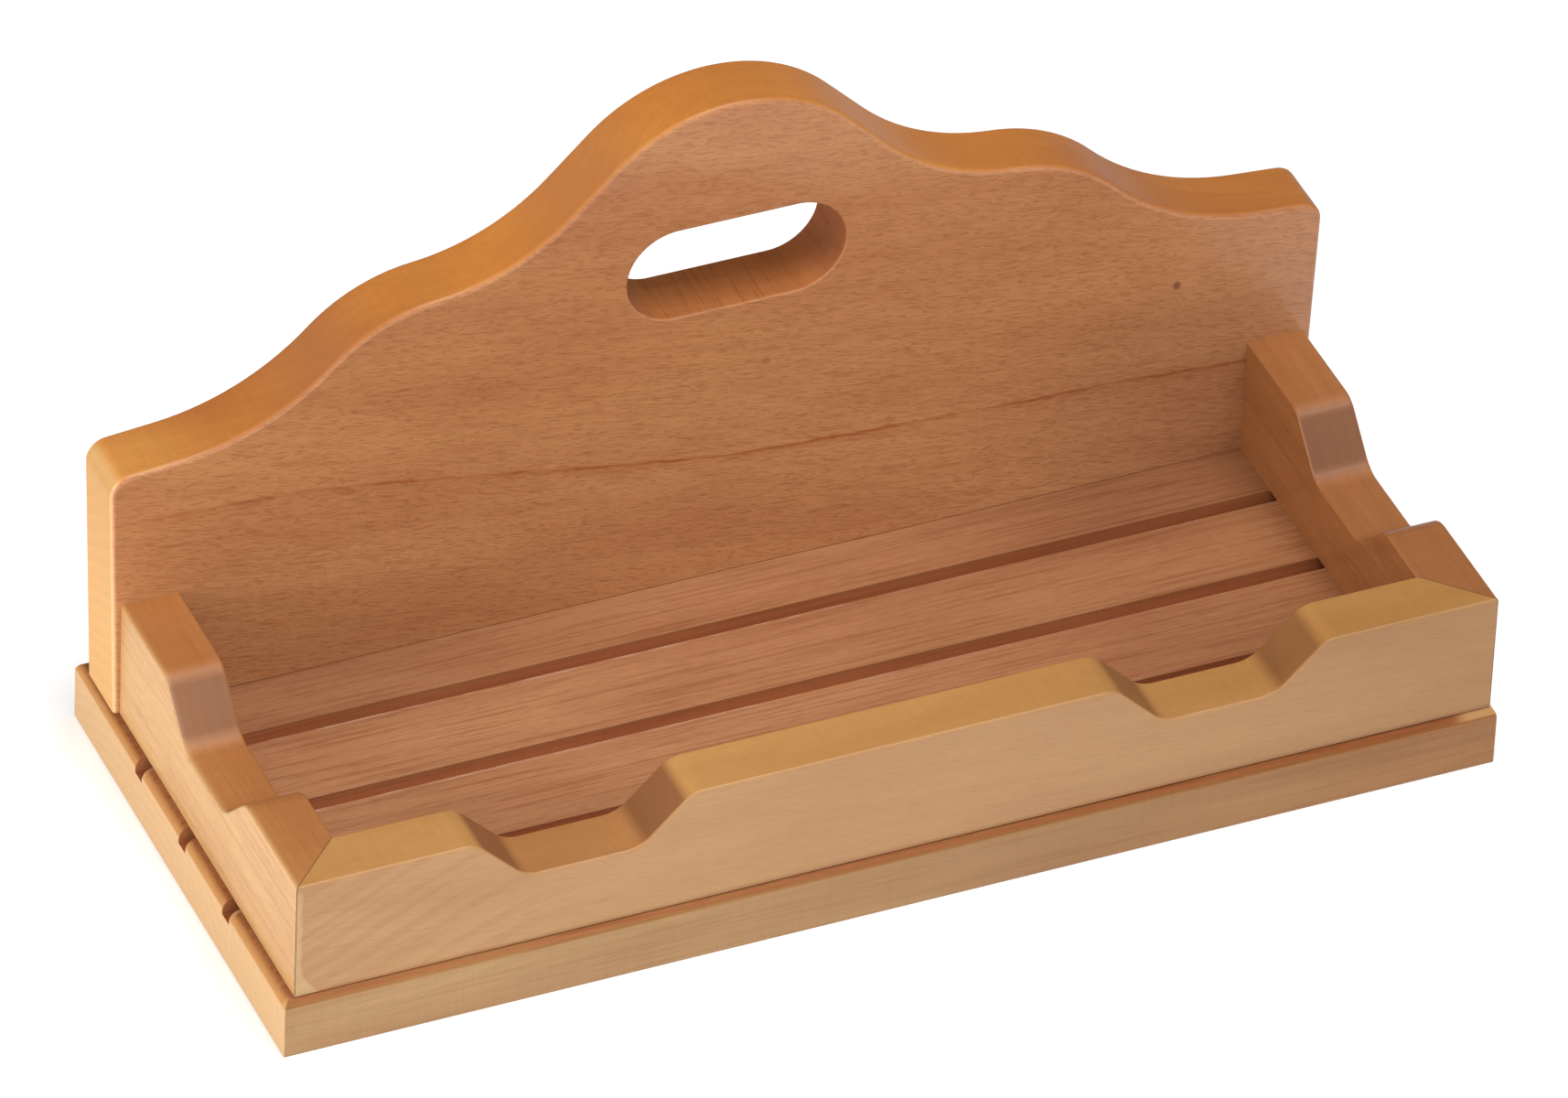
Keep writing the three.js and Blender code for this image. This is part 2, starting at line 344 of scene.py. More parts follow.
def groove_cutter(lower, upper):
    """Cuts three routed grooves: straight walls, flat bottoms and rounded lips, right through."""
    half, lip = GROOVE["width"] / 2, GROOVE["lip"]
    lip_arc = walk((half + lip, 0), 180, [(lip, 90)], LIP_ARC_STEP)
    right = [Vector((half + lip, OVERSHOOT))] + lip_arc + [Vector((half, -GROOVE["depth"]))]
    section = right + mirrored(right)
    bm = bmesh.new()
    for row in (-1, 0, 1):
        middle = GROOVE["middle"] + row * GROOVE["pitch"]
        loops = []
        for x in (lower.x - OVERSHOOT, upper.x + OVERSHOOT):
            loops.append([bm.verts.new((x, middle + p.x, upper.z + p.y)) for p in section])
        bridge(bm, *loops)
        for loop in loops:
            bm.faces.new(loop)
    bmesh.ops.recalc_face_normals(bm, faces=bm.faces)
    return bm


# ---- The five boards -----------------------------------------------------------------------------


def above_floor(a, b):
    """False for the edge that stands on the base board."""
    return not (a.y < MM and b.y < MM)


def base_piece():
    lower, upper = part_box("base_board")
    corners = ((lower.x, lower.y), (upper.x, lower.y), (upper.x, upper.y), (lower.x, upper.y))
    profile = arris_profile(upper.z, BASE_ARRIS, both_faces=False)
    bm = board_mesh([([Vector(c) for c in corners], lambda a, b: True, profile)],
                    lambda p, depth: (p.x, p.y, upper.z - depth))
    board = piece_from(bm, "fine_base_board")
    ease(board)
    subtract(board, groove_cutter(lower, upper))
    subtract(board, fastener_cutter(nodes_named("screw")))
    return board


def back_piece():
    lower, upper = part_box("back_panel")
    thickness = upper.y - lower.y
    bm = board_mesh([
        (back_outline(), above_floor, arris_profile(thickness, BACK_ARRIS)),
        (stadium(), lambda a, b: True, arris_profile(thickness, HOLE_ARRIS)),
    ], lambda p, depth: (p.x, lower.y + depth, FLOOR_TOP + p.y))
    board = piece_from(bm, "fine_back_panel")
    ease(board)
    subtract(board, fastener_cutter(nodes_named("back_screw"), nodes_named("dowel")))
    return board


def rail_piece():
    lower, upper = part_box("front_rail")
    half = upper.x - MITRE_GAP * math.sqrt(2)
    outline = board_outline(-half, half, [(-RAIL_SCOOP_CENTRE, RAIL_SCOOP_HALF),
                                          (RAIL_SCOOP_CENTRE, RAIL_SCOOP_HALF)])

    def place(p, depth):
        mitred = math.copysign(half - depth, p.x) if abs(p.x) > half - MM else p.x
        return (mitred, lower.y + depth, FLOOR_TOP + p.y)

    def eased(a, b):
        return above_floor(a, b) and abs(a.x + b.x) < 2 * half - MM

    bm = board_mesh([(outline, eased, arris_profile(RAIL_STOCK, FRAME_ARRIS))], place)
    board = piece_from(bm, "fine_front_rail")
    ease(board)
    subtract(board, fastener_cutter(nodes_named("front_rail_screw")))
    return board


def side_piece(name, side):
    """A side board: side is -1 for the left one and 1 for the right one."""
    lower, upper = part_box(name)
    stock = upper.x - lower.x
    front = low("front_rail").y + MITRE_GAP * math.sqrt(2)
    outline = board_outline(front, upper.y, [(SIDE_SCOOP_CENTRE, SIDE_SCOOP_HALF)])
    outer = side * max(abs(lower.x), abs(upper.x))

    def place(p, depth):
        y = front + depth if p.x < front + MM else p.x
        return (outer - side * depth, y, FLOOR_TOP + p.y)

    def eased(a, b):
        mitred = a.x < front + MM and b.x < front + MM
        against_back = a.x > upper.y - MM and b.x > upper.y - MM
        return above_floor(a, b) and not mitred and not against_back

    bm = board_mesh([(outline, eased, arris_profile(stock, FRAME_ARRIS))], place)
    board = piece_from(bm, "fine_" + name)
    ease(board)
    hand = name.split("_")[0]
    subtract(board, fastener_cutter(nodes_named(name + "_screw"), nodes_named(hand + "_dowel")))
    return board


# ---- Shader nodes --------------------------------------------------------------------------------


class NodeTree:
    """Builds shader nodes. Each method adds a node and returns its output socket."""

    def __init__(self, tree):
        self.tree = tree

    def node(self, kind, inputs=(), output=0, **settings):
        made = self.tree.nodes.new(kind)
        for key, value in settings.items():
            setattr(made, key, value)
        for key, value in dict(inputs).items():
            self.feed(made.inputs[key], value)
        return made.outputs[output]

    def feed(self, socket, value):
        if isinstance(value, bpy.types.NodeSocket):
            self.tree.links.new(value, socket)
        else:
            socket.default_value = value

    def math(self, operation, a, b=0.0, c=0.0):
        return self.node("ShaderNodeMath", {0: a, 1: b, 2: c}, operation=operation)

    def add(self, *values):
        return functools.reduce(lambda a, b: self.math("ADD", a, b), values)

    def product(self, *values):
        return functools.reduce(lambda a, b: self.math("MULTIPLY", a, b), values)

    def vector(self, operation, a, b=(0, 0, 0)):
        output = 1 if operation in ("LENGTH", "DOT_PRODUCT") else 0
        return self.node("ShaderNodeVectorMath", {0: a, 1: b}, output, operation=operation)

    def split(self, vector):
        return self.node("ShaderNodeSeparateXYZ", {0: vector}).node.outputs

    def noise(self, vector, sizes, detail=2.0, roughness=0.5, output=0):
        """Noise whose features have these sizes, in metres, along the vector's three axes."""
        scaled = self.vector("MULTIPLY", vector, tuple(1 / size for size in sizes))
        inputs = {"Vector": scaled, "Scale": 1.0, "Detail": detail, "Roughness": roughness}
        return self.node("ShaderNodeTexNoise", inputs, output)

    def step(self, value, start, end, low=0.0, high=1.0):
        """Smooth step of value between start and end, from low to high."""
        inputs = {"Value": value, "From Min": start, "From Max": end, "To Min": low, "To Max": high}
        return self.node("ShaderNodeMapRange", inputs, interpolation_type="SMOOTHSTEP")

    def blend(self, factor, a, b, mode="MIX"):
        made = self.tree.nodes.new("ShaderNodeMix")
        made.data_type = "RGBA"
        made.blend_type = mode
        for index, value in ((0, factor), (6, a), (7, b)):
            self.feed(made.inputs[index], value)
        return made.outputs[2]

    def tint(self, tone, shade, factor=1.0):
        """tone times shade, by factor."""
        return self.blend(factor, tone, shade, "MULTIPLY")


class Shader(NodeTree):
    """A material's nodes, round the Principled BSDF that it starts with.

    place is a point's place in the rack, in metres, and x, y and z are its three parts.
    """

    AXES = {"X": (1, 0, 0), "Y": (0, 1, 0), "Z": (0, 0, 1)}

    def __init__(self, name):
        self.material = bpy.data.materials.new(name)
        self.material.use_nodes = True
        super().__init__(self.material.node_tree)
        self.surface = self.tree.nodes["Principled BSDF"]
        self.place = self.node("ShaderNodeTexCoord", output=3)
        self.x, self.y, self.z = self.split(self.place)

    def facing(self, axis, start, end):
        """0 to 1 as the surface turns to face along an axis, either way."""
        normal = self.node("ShaderNodeTexCoord", output=1)
        along = self.vector("DOT_PRODUCT", normal, self.AXES[axis])
        return self.step(self.math("ABSOLUTE", along), start, end)

    def spot(self, centre, size):
        """1 inside an oval spot on an upright board, falling to 0 at its rim, in X and Z."""
        across = self.product(self.math("SUBTRACT", self.x, centre[0]), 1 / size[0])
        up = self.product(self.math("SUBTRACT", self.z, centre[1]), 1 / size[1])
        reach = self.add(self.product(across, across), self.product(up, up))
        return self.step(self.math("SQRT", reach), 1.0, 0.4)

    def bump(self, height, strength, distance):
        """Raises the surface by a height of 0 to 1 times distance, in metres."""
        inputs = {"Height": height, "Strength": strength, "Distance": distance}
        self.feed(self.surface.inputs["Normal"], self.node("ShaderNodeBump", inputs))


def rgb(red, green, blue):
    return (red, green, blue, 1.0)


# ---- Beech ---------------------------------------------------------------------------------------

# Sizes of the figure along the fibres, across them and through them, in metres.
CLOUD = (0.16, 0.03, 0.03)
LONG_STREAK = (0.07, 0.0016, 0.0016)
FINE_FIBRE = (0.016, 0.0004, 0.0004)
RIPPLE = (0.012, 0.008, 0.008)
RAY = (0.0062, 0.00052, 0.00052)
RAY_CROWD = (0.03, 0.012, 0.012)
PORE = (0.01, 0.0005, 0.0005)
TRUNK_SWAY = (0.2, 0.09, 0.09)

# A cutter leaves marks this wide, which run this far across a narrow face.
CUTTER_MARK = 0.0015
CUTTER_REACH = 0.05

STREAK_TINT = rgb(0.76, 0.63, 0.55)
RAY_TINT = rgb(0.68, 0.56, 0.46)


def fibre_space(s, grain, lean):
    """The point's place turned so that X runs along the fibres, which lean by these degrees."""
    across = -90 if grain == "Y" else 0
    turned = tuple(math.radians(a) for a in (lean[0], lean[1], lean[2] + across))
    return s.node("ShaderNodeMapping", {"Vector": s.place, "Rotation": turned})


def year_rings(s, fibres, heart, width):
    """0 to 1 across each year: a slow darkening and a quick return, round the tree's heart."""
    sway = s.vector("SUBTRACT", s.noise(fibres, TRUNK_SWAY, output=1), (0.5,) * 3)
    bent = s.vector("ADD", fibres, s.vector("MULTIPLY", sway, (0.0, 0.035, 0.035)))
    from_heart = s.vector("SUBTRACT", bent, (0.0, heart[0], heart[1]))
    radius = s.vector("LENGTH", s.vector("MULTIPLY", from_heart, (0.0, 1.0, 1.0)))
    year = s.math("FRACT", s.product(radius, 1 / width))
    return s.product(s.step(year, 0.0, 0.8), s.step(year, 1.0, 0.86))


def ray_flecks(s, fibres):
    """1 on the short rays, which come in crowds and waver a little."""
    ripple = s.noise(fibres, RIPPLE, detail=1.0, output=1)
    wavy = s.vector("ADD", fibres, s.vector("MULTIPLY", ripple, (0.0, 0.002, 0.002)))
    dash = s.noise(wavy, RAY, detail=0.0)
    crowd = s.noise(fibres, RAY_CROWD, detail=1.0)
    return s.step(s.add(dash, s.product(crowd, 0.12)), 0.6, 0.7)


def long_grain(s, fibres, ring, pale, deep, streaks):
    """Clouds and years between the pale and the deep tone, with reddish streaks."""
    cloud = s.noise(fibres, CLOUD, detail=3.0)
    tone = s.blend(s.step(cloud, 0.3, 0.7), pale, deep)
    tone = s.blend(s.product(ring, 0.25), tone, deep)
    streak = s.noise(fibres, LONG_STREAK, detail=4.0, roughness=0.6)
    return s.tint(tone, STREAK_TINT, s.product(s.step(streak, 0.46, 0.66), streaks))


def cutter_marks(s, flat):
    """Faint stripes on a board's narrow faces, from one wide face to the other."""
    sizes = tuple(CUTTER_REACH if axis == flat else CUTTER_MARK for axis in "XYZ")
    return s.step(s.noise(s.place, sizes, detail=1.0), 0.3, 0.7, 0.975, 1.015)


def cut_end(s, fibres, ring, end_tone):
    """Cut ends of the fibres: smoother, with the years as faint lines."""
    cut = s.tint(end_tone, s.step(ring, 0.0, 1.0, 1.01, 0.97))
    return s.tint(cut, s.step(s.noise(fibres, PORE, detail=1.0), 0.3, 0.7, 0.96, 1.03))


def lacquer(s, coat, gloss):
    """The surface's clear coat, and the gloss of the wood under it."""
    s.feed(s.surface.inputs["Coat Weight"], coat)
    s.feed(s.surface.inputs["Specular IOR Level"], gloss)
    s.surface.inputs["IOR"].default_value = 1.42
    s.surface.inputs["Coat Roughness"].default_value = 0.14
    s.surface.inputs["Coat IOR"].default_value = 1.45


def beech(name, grain, flat, heart, pale, deep, edge_tint, end_tone, lean=(0, 0, 0), years=0.006,
          streaks=0.5, flecks=0.4, coat=0.4, marks=None, bare=None):
    """Lacquered steamed beech, figured in the solid.

    grain is the axis that the fibres run along, and flat the one that the wide faces point along.
    heart is where the tree's heart lay in the plane across the grain, and years how wide a year is.
    pale and deep are the early and late wood, edge_tint what the narrow faces are multiplied by,
    and end_tone the cut ends. streaks and flecks are the strengths of the long reddish streaks and
    of the short rays, and coat that of the lacquer. marks adds the figure, and the painted light
    and shade, that only this board has, and bare says where it has no lacquer.
    """
    s = Shader(name)
    fibres = fibre_space(s, grain, lean)
    ring = year_rings(s, fibres, heart, years)
    fleck = ray_flecks(s, fibres)
    fine = s.noise(fibres, FINE_FIBRE, detail=1.0)
    on_face = s.facing(flat, 0.5, 0.9)
    end = s.facing(grain, 0.3, 0.9)

    tone = long_grain(s, fibres, ring, pale, deep, s.step(on_face, 0, 1, 0.5 * streaks, streaks))
    tone = s.tint(tone, s.step(fine, 0.25, 0.75, 0.95, 1.04))
    tone = s.tint(tone, RAY_TINT, s.product(fleck, flecks, on_face))
    edge = s.tint(s.tint(tone, edge_tint), cutter_marks(s, flat))
    tone = s.blend(on_face, edge, tone)
    tone = s.blend(end, tone, cut_end(s, fibres, ring, end_tone))
    if marks:
        tone = marks(s, tone)
    s.feed(s.surface.inputs["Base Color"], tone)

    matte = s.add(s.step(fine, 0.2, 0.8, 0.42, 0.52), s.product(end, 0.35))
    s.feed(s.surface.inputs["Roughness"], matte)
    film = s.step(on_face, 0.0, 0.5, 0.35 * coat, coat)
    if bare:
        covered = s.math("SUBTRACT", 1.0, bare(s))
        lacquer(s, s.product(film, covered), s.product(covered, 0.5))
    else:
        lacquer(s, film, 0.5)
    s.bump(s.math("SUBTRACT", s.product(fine, 0.5), s.product(fleck, 0.6)), 0.25, 0.0001)
    return s.material


# ---- Figure, and painted light and shade, that only one board has --------------------------------
#
# The tones are matched to one view of the rack. Part of what sets faces and ends apart here may be
# light and shade in that view, which one view can't tell from the wood's own colour.

PIN_KNOT = {"centre": (0.1924, 0.1168), "size": (0.0022, 0.0028)}
BRUISE = {"centre": (0.0176, 0.1267), "size": (0.003, 0.0022)}
VEIN_HEIGHT = 0.0805    # at the middle of the rack
GLUE_WIDTH = 1 * MM
GLUE = rgb(0.6, 0.42, 0.2)
GLUE_SMEAR = rgb(0.6, 0.36, 0.15)
# Colour of the painted highlight along the groove lips.
LIP_HIGHLIGHT = rgb(0.55, 0.36, 0.27)


def vein(s, tone):
    """A reddish vein along the back board, which falls to the right, with a soft lower side."""
    sway = s.noise(s.place, (0.03,) * 3, detail=4.0, roughness=0.6)
    fall = s.step(s.x, 0.05, -0.21, 0.0, 0.024)
    height = s.add(s.product(s.x, -0.05), fall, VEIN_HEIGHT, s.product(sway, 0.005))
    above = s.math("SUBTRACT", s.z, height)
    patches = s.step(s.noise(s.place, (0.02,) * 3), 0.35, 0.6, 0.4, 1.0)
    fade = s.step(s.x, -0.252, -0.2, 0.2, 1.0)
    strength = s.product(patches, s.facing("Y", 0.3, 0.8), fade)
    core = s.step(s.math("ABSOLUTE", above), 0.0011, 0.0003)
    tone = s.tint(tone, rgb(0.78, 0.58, 0.45), s.product(core, strength))
    shade = s.product(s.step(above, -0.006, -0.0005), s.step(above, 0.0006, 0.0))
    return s.tint(tone, rgb(0.9, 0.83, 0.78), s.product(shade, strength))


def hole_walls(s):
    """1 on the walls of the hand hole, which have no lacquer."""
    middle = (HAND_HOLE["centre"], FLOOR_TOP + HAND_HOLE["middle"])
    reach = (HAND_HOLE["width"], HAND_HOLE["height"] * 1.3)
    return s.product(s.facing("Y", 0.9, 0.5), s.spot(middle, reach))


def torn_walls(s, tone):
    """The hand hole's browner walls, with darker torn fibres across them."""
    walls = hole_walls(s)
    tone = s.tint(tone, rgb(0.86, 0.88, 1.9), walls)
    torn = s.step(s.noise(s.place, (0.0014, 0.03, 0.0014)), 0.5, 0.7)
    return s.tint(tone, rgb(0.85, 0.78, 0.75), s.product(walls, torn))


def crest_and_end(s, tone):
    """The crest is deeper where it is low; painted light lightens its left corner and the left end.
    """
    upward = s.facing("Z", 0.3, 0.7)
    low_crest = s.product(upward, s.step(s.math("ABSOLUTE", s.x), 0.11, 0.17))
    tone = s.tint(tone, rgb(0.83, 0.78, 0.88), low_crest)
    # Painted light on the crest towards its left corner.
    tone = s.tint(tone, rgb(1.28, 1.5, 1.65), s.product(upward, s.step(s.x, -0.2, -0.245)))
    # Painted light down the left end.
    left_end = s.product(s.facing("X", 0.3, 0.9), s.step(s.x, -0.238, -0.246))
    tone = s.tint(tone, rgb(1.41, 2.07, 3.2), left_end)
    # A painted highlight on the rounded corner between the left end and the front face.
    return s.tint(tone, rgb(1.35, 1.5, 2.0), s.product(left_end, s.facing("Y", 0.15, 0.5)))


def back_marks(s, tone):
    """The vein, a pin knot, a bruise, the crest and left end, and painted light and shade at the
    foot.
    """
    tone = vein(s, tone)
    tone = s.tint(tone, rgb(0.5, 0.42, 0.36), s.spot(PIN_KNOT["centre"], PIN_KNOT["size"]))
    tone = s.tint(tone, rgb(0.72, 0.7, 0.68), s.spot(BRUISE["centre"], BRUISE["size"]))
    tone = torn_walls(s, tone)
    tone = crest_and_end(s, tone)

    # A dark line along the joint with the base board. Painted light on the foot, painted shade at
    # its right.
    joint = s.step(s.z, FLOOR_TOP + 0.0007, FLOOR_TOP + 0.0003)
    tone = s.tint(tone, rgb(0.6, 0.5, 0.45), joint)
    # Painted shade at the lower right of the board.
    right_foot = s.product(s.step(s.x, 0.08, 0.22), s.step(s.z, 0.14, 0.09))
    tone = s.tint(tone, rgb(0.86, 0.87, 0.95), right_foot)
    # Painted light, lightening the board towards its foot.
    return s.tint(tone, rgb(1.2, 1.29, 1.4), s.step(s.z, 0.16, 0.05))


def swirl(s, tone):
    """Grain that swirls up at the rail's left end, as it does beside a branch."""
    rise = s.node("ShaderNodeCombineXYZ", {2: s.step(s.x, -0.31, -0.13, 0.0, 0.06)})
    grain = s.noise(s.vector("SUBTRACT", s.place, rise), (0.12, 0.05, 0.0042))
    line = s.product(s.step(grain, 0.6, 0.42), s.step(s.x, -0.08, -0.2), s.facing("Y", 0.5, 0.9))
    return s.tint(tone, rgb(0.94, 0.89, 0.84), line)


def glue_bead(s, tone):
    """Dried glue down the left mitre, which spreads at the foot."""
    middle = low("front_rail").x + GLUE_WIDTH
    foot = s.math("POWER", s.step(s.z, 0.045, 0.024), 2.0)
    rough = s.noise(s.place, (0.004,) * 3)
    reach = s.add(s.product(foot, 0.008), s.product(rough, 0.0022))
    inside = s.math("SUBTRACT", s.math("SUBTRACT", s.x, middle), reach)
    bead = s.product(s.step(inside, 0.0008, -0.0006), s.step(s.z, 0.0785, 0.0755))
    return s.blend(s.product(bead, 0.38), tone, GLUE)


def rail_marks(s, tone):
    """The swirl, a redder left scoop, painted shade to the right and at the foot, and glue at the
    mitre.
    """
    tone = swirl(s, tone)
    # Painted shade, darker towards the right.
    tone = s.tint(tone, rgb(0.81, 0.77, 0.66), s.step(s.x, 0.0, 0.25))
    left_scoop = s.product(s.step(s.x, 0.0, -0.06), s.step(s.z, 0.0785, 0.076),
                           s.facing("Y", 0.5, 0.2))
    tone = s.tint(tone, rgb(0.88, 0.78, 0.8), left_scoop)
    # Painted shade along the foot of the rail, where it meets the base board.
    joint = s.step(s.z, FLOOR_TOP + 0.0022, FLOOR_TOP)
    tone = s.tint(tone, rgb(0.78, 0.66, 0.52), joint)
    return glue_bead(s, tone)


def left_face_painted_light(s, tone):
    """Painted light on the outer face, which faces the light from the left."""
    return s.tint(tone, rgb(1.2, 1.56, 1.95), s.step(s.x, -0.246, -0.2487))


def base_arris(s):
    """1 on the rounded edges along the top of the base board, which have no lacquer."""
    return s.product(s.facing("Z", 0.1, 0.35), s.facing("Z", 0.99, 0.9))


def base_edges(s, tone):
    """A paler front edge, with painted shade to the right and on the rounded top edges."""
    front = s.product(s.step(s.y, -0.106, -0.108), s.facing("Y", 0.85, 0.99))
    tone = s.tint(tone, rgb(0.99, 1.22, 1.08), front)
    # Painted shade on the front edge, darker towards the right.
    tone = s.tint(tone, rgb(1.0, 0.86, 0.68), s.product(front, s.step(s.x, 0.05, 0.25)))
    upward = s.facing("Z", 0.1, 0.35)
    # Painted shade on the rounded top edge at the left end.
    left_ledge = s.product(upward, s.step(s.x, -0.2475, -0.249), s.step(s.y, -0.1075, -0.1065))
    tone = s.tint(tone, rgb(0.85, 0.68, 0.52), left_ledge)
    # Painted shade on the rounded top edge along the front, under the rail.
    front_ledge = s.product(upward, s.step(s.y, -0.1065, -0.108))
    return s.tint(tone, rgb(0.86, 0.77, 0.7), front_ledge)


def groove_marks(s, tone):
    """Redder grooves, with a painted highlight along each front lip, broken in places."""
    depth = s.product(s.step(s.z, FLOOR_TOP - 0.0005, FLOOR_TOP - 0.0015),
                      s.step(s.z, FLOOR_TOP - 0.0085, FLOOR_TOP - 0.0075))
    routed = s.product(depth, s.step(s.y, -0.104, -0.1), s.facing("X", 0.6, 0.3))
    tone = s.tint(tone, rgb(1.25, 1.05, 0.95), routed)

    offset = s.math("SUBTRACT", s.y, GROOVE["middle"] - GROOVE["width"] / 2)
    from_lip = s.math("WRAP", offset, GROOVE["pitch"] / 2, -GROOVE["pitch"] / 2)
    broken = s.step(s.noise(s.place, (0.012, 0.002, 0.01), detail=3.0), 0.4, 0.65)
    strength = s.step(s.x, 0.15, -0.05, 0.1, 0.45)
    # Painted highlight, stronger towards the left.
    lip_highlight = s.product(s.step(from_lip, -0.0022, -0.0004), s.step(from_lip, 0.0005, 0.0), broken,
                      strength)
    return s.blend(lip_highlight, tone, LIP_HIGHLIGHT)


def base_marks(s, tone):
    """Painted shade to the right and in the rear corners, then edges, grooves and a glue smear."""
    # Painted shade, darker towards the right.
    tone = s.tint(tone, rgb(0.78, 0.7, 0.64), s.step(s.x, -0.05, 0.25))
    tone = base_edges(s, tone)
    # Painted shade in the rear corners, beside the back and side boards.
    corners = s.product(s.step(s.math("ABSOLUTE", s.x), 0.08, 0.17), s.step(s.y, 0.03, 0.045),
                        s.facing("Z", 0.5, 0.9))
    tone = s.tint(tone, rgb(0.84, 0.8, 0.79), corners)
    tone = groove_marks(s, tone)

    # Glue squeezed out at the foot of the rail's right end.
    glue = s.product(s.step(s.x, 0.232, 0.24), s.step(s.z, 0.0232, 0.0242),
                     s.step(s.y, -0.1, -0.106))
    return s.blend(s.product(glue, 0.5), tone, GLUE_SMEAR)


# ---- The five boards' woods ----------------------------------------------------------------------


def base_wood():
    """Straight grain with long reddish streaks."""
    return beech("base_beech", grain="X", flat="Z", heart=(0.03, -0.08),
                 pale=rgb(0.415, 0.196, 0.088), deep=rgb(0.338, 0.142, 0.06),
                 edge_tint=rgb(1, 1, 1), end_tone=rgb(0.53, 0.32, 0.147),
                 lean=(0, 0, 0.5), streaks=0.85, flecks=0.3, marks=base_marks, bare=base_arris)


def back_wood():
    """Strong ray flecks that rise to the right, and an orange crest."""
    return beech("back_beech", grain="X", flat="Y", heart=(0.16, 0.165),
                 pale=rgb(0.49, 0.219, 0.083), deep=rgb(0.42, 0.17, 0.063),
                 edge_tint=rgb(1.0, 0.83, 0.34), end_tone=rgb(0.34, 0.115, 0.022),
                 lean=(0, -9.5, 4), streaks=0.35, flecks=0.52, marks=back_marks, bare=hole_walls)


# Its outer face gets painted light from the left.
def left_side_wood():
    return beech("left_side_beech", grain="Y", flat="X", heart=(-0.1, 0.01),
                 pale=rgb(0.46, 0.2, 0.06), deep=rgb(0.38, 0.15, 0.04),
                 edge_tint=rgb(0.88, 0.81, 0.8), end_tone=rgb(0.22, 0.097, 0.048),
                 flecks=0.3, coat=0.1, marks=left_face_painted_light)


def right_side_wood():
    """Browner and deeper than the left side, partly painted shade as light falls off to the right.
    """
    return beech("right_side_beech", grain="Y", flat="X", heart=(0.3, -0.02),
                 pale=rgb(0.36, 0.14, 0.043), deep=rgb(0.29, 0.108, 0.03),
                 edge_tint=rgb(0.9, 0.86, 0.84), end_tone=rgb(0.15, 0.055, 0.022), flecks=0.3)


def rail_wood():
    """The palest board, with wide years and hardly a fleck."""
    return beech("rail_beech", grain="X", flat="Y", heart=(-0.03, -0.05),
                 pale=rgb(0.46, 0.243, 0.095), deep=rgb(0.4, 0.2, 0.073),
                 edge_tint=rgb(0.98, 0.92, 0.7), end_tone=rgb(0.18, 0.062, 0.015),
                 lean=(0, -3, 1), years=0.02, streaks=0.12, flecks=0.14, marks=rail_marks)


# ---- Metal and dowel wood ------------------------------------------------------------------------


def zinc():
    """Bright zinc plate with faint turning marks and cloudy patches."""
    s = Shader("zinc_plate")
    turning = s.noise(s.place, (0.01, 0.01, 0.0002))
    patches = s.noise(s.place, (0.004,) * 3, detail=4.0)
    tone = s.blend(s.step(patches, 0.3, 0.7), rgb(0.62, 0.63, 0.66), rgb(0.78, 0.77, 0.72))
    s.feed(s.surface.inputs["Base Color"], tone)
    s.feed(s.surface.inputs["Roughness"], s.step(turning, 0.3, 0.7, 0.25, 0.42))
    s.surface.inputs["Metallic"].default_value = 1.0
    s.bump(turning, 0.2, 0.00005)
    return s.material


def dowel_wood():
    return beech("dowel_beech", grain="Y", flat="X", heart=(0.0, 0.0),
                 pale=rgb(0.62, 0.42, 0.25), deep=rgb(0.55, 0.35, 0.2),
                 edge_tint=rgb(1, 1, 1), end_tone=rgb(0.6, 0.42, 0.27))


# ---- Assembly ------------------------------------------------------------------------------------


def finish_piece(piece, node, material):
    smooth(piece)
    piece.data.materials.clear()
    piece.data.materials.append(material)
    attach(piece, "root")
    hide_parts(node)


def dress_cad(part, material):
    """Gives a material to every CAD node with part in its name."""
    for node in nodes_named(part):
        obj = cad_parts[node]
        for material_slot in obj.material_slots:
            material_slot.material = material


def build_boards():
    finish_piece(base_piece(), "base_board", base_wood())
    finish_piece(back_piece(), "back_panel", back_wood())
    finish_piece(rail_piece(), "front_rail", rail_wood())
    finish_piece(side_piece("left_side", -1), "left_side", left_side_wood())
    finish_piece(side_piece("right_side", 1), "right_side", right_side_wood())


def dress_fasteners():
    dress_cad("screw", zinc())
    dress_cad("dowel", dowel_wood())


# ---- Stage ---------------------------------------------------------------------------------------

CAMERA = {"place": (-2.0069, -4.3444, 3.8725), "azimuth": 24.7414, "elevation": 38.3004,
          "roll": -2.6568, "lens": 364.408, "sensor": 36, "far": 50}
FLOOR_REACH = 8.0
FLOOR_GAP = 0.1 * MM    # keeps the floor out of the base board's underside
# Each softbox's place, target, size and power.
SOFTBOXES = {
    "overhead": ((0.3, -0.45, 2.05), (0, 0, 0.08), (1.3, 1.3), 33),
    "front": ((0.75, -1.35, 1.6), (0, 0, 0.08), (0.8, 0.8), 2),
    "left": ((-1.6, -0.15, 0.38), (-0.25, 0, 0.06), (1.0, 0.5), 16),
}
ROOM_GLOW = {"front": 0.7, "behind": 0.2}


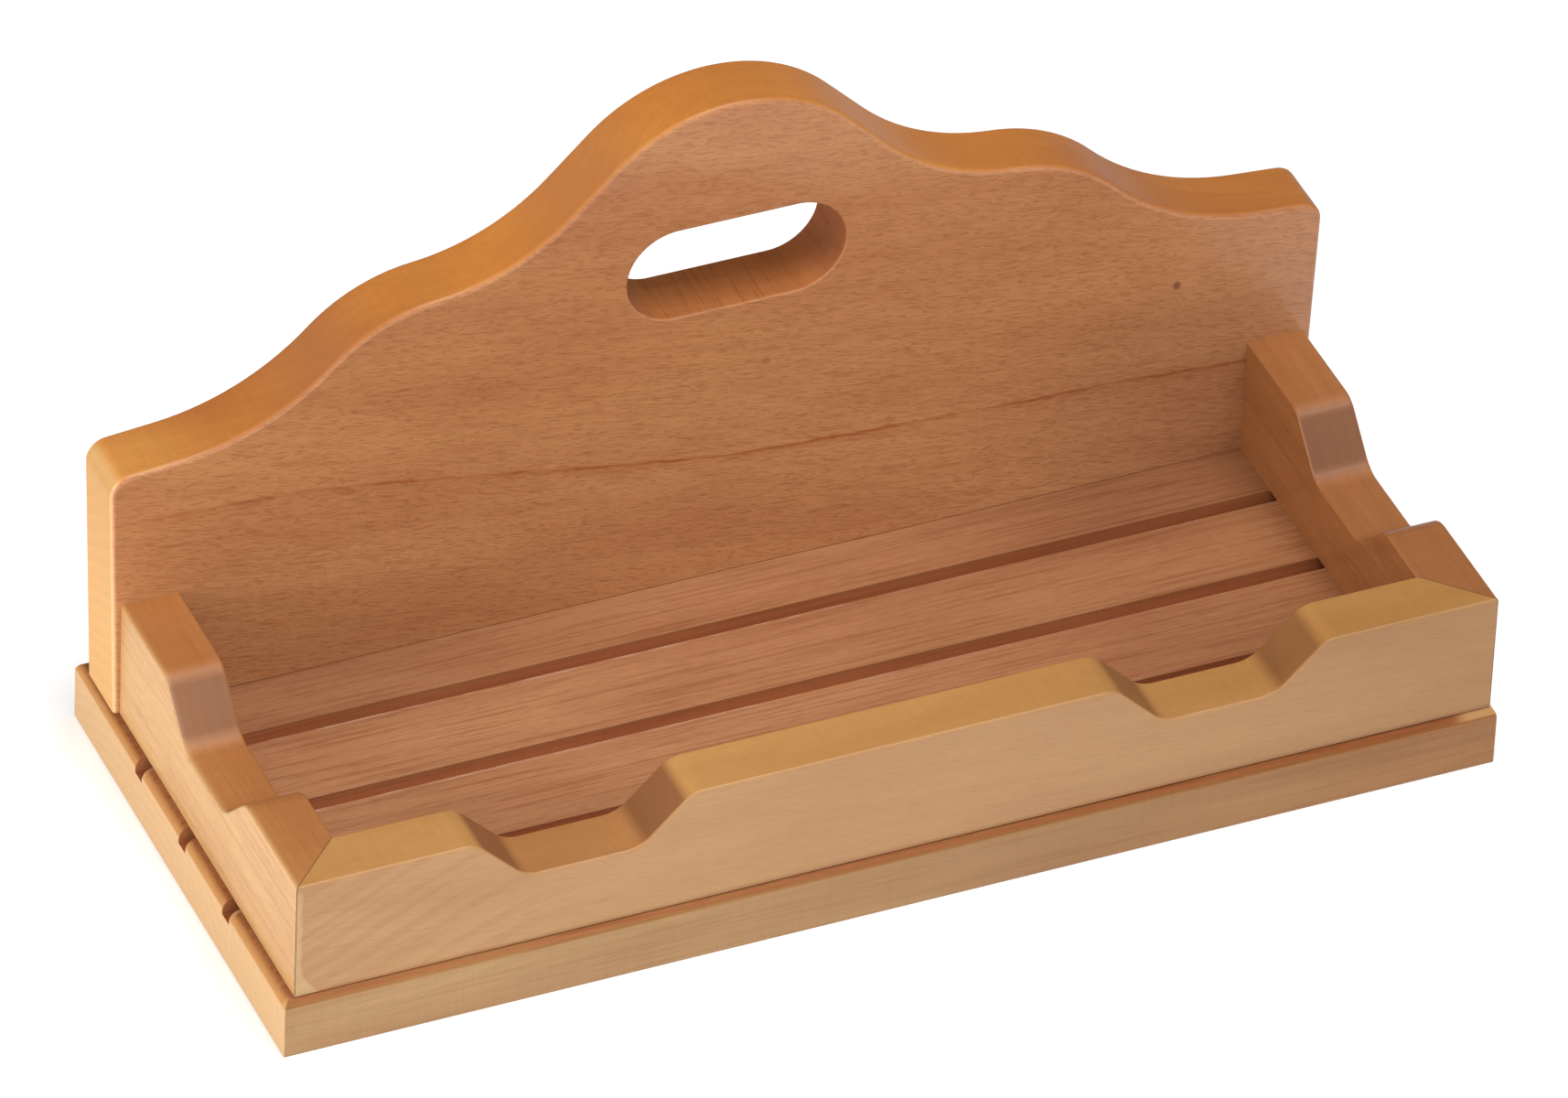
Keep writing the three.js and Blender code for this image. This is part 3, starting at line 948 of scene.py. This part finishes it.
def make_camera():
    """A long lens from the front left and above, slightly rolled."""
    data = bpy.data.cameras.new("camera")
    data.sensor_width = CAMERA["sensor"]
    data.lens = CAMERA["lens"]
    data.clip_end = CAMERA["far"]
    camera = bpy.data.objects.new("camera", data)
    bpy.context.scene.collection.objects.link(camera)
    bpy.context.scene.camera = camera
    azimuth, elevation = math.radians(CAMERA["azimuth"]), math.radians(CAMERA["elevation"])
    ahead = Vector((math.sin(azimuth) * math.cos(elevation),
                    math.cos(azimuth) * math.cos(elevation), -math.sin(elevation)))
    level = ahead.to_track_quat("-Z", "Y").to_matrix()
    turned = level @ Matrix.Rotation(math.radians(-CAMERA["roll"]), 3, "Z")
    camera.matrix_world = Matrix.Translation(CAMERA["place"]) @ turned.to_4x4()


def make_floor():
    """A pale floor that glows a little, more so to the left, where it is almost white."""
    bm = bmesh.new()
    corners = ((-1, -1), (1, -1), (1, 1), (-1, 1))
    bm.faces.new([bm.verts.new((x * FLOOR_REACH, y * FLOOR_REACH, -FLOOR_GAP)) for x, y in corners])
    floor = piece_from(bm, "floor")
    s = Shader("pale_floor")
    s.surface.inputs["Base Color"].default_value = rgb(0.9, 0.9, 0.9)
    s.surface.inputs["Roughness"].default_value = 0.8
    s.surface.inputs["Emission Color"].default_value = rgb(1, 1, 1)
    s.feed(s.surface.inputs["Emission Strength"], s.step(s.x, -0.4, 0.5, 0.28, 0.05))
    floor.data.materials.append(s.material)


def make_softbox(name, place, target, size, power):
    data = bpy.data.lights.new(name, "AREA")
    data.shape = "RECTANGLE"
    data.size, data.size_y = size
    data.energy = power
    light = bpy.data.objects.new(name, data)
    bpy.context.scene.collection.objects.link(light)
    light.location = place
    aim = Vector(target) - Vector(place)
    light.rotation_mode = "QUATERNION"
    light.rotation_quaternion = aim.to_track_quat("-Z", "Y")


def make_room():
    """A pale room, bright in front of the rack and dark behind it."""
    world = bpy.data.worlds.new("studio")
    bpy.context.scene.world = world
    world.use_nodes = True
    s = NodeTree(world.node_tree)
    towards = s.split(s.node("ShaderNodeTexCoord"))
    background = world.node_tree.nodes["Background"]
    background.inputs["Color"].default_value = rgb(1, 1, 1)
    glow = s.step(towards[1], -0.25, 0.5, ROOM_GLOW["front"], ROOM_GLOW["behind"])
    s.feed(background.inputs["Strength"], glow)


def make_lights():
    make_room()
    for name, settings in SOFTBOXES.items():
        make_softbox(name, *settings)
    bpy.context.scene.view_settings.view_transform = "Standard"
    bpy.context.scene.view_settings.look = "None"


make_camera()
make_floor()
make_lights()
build_boards()
dress_fasteners()
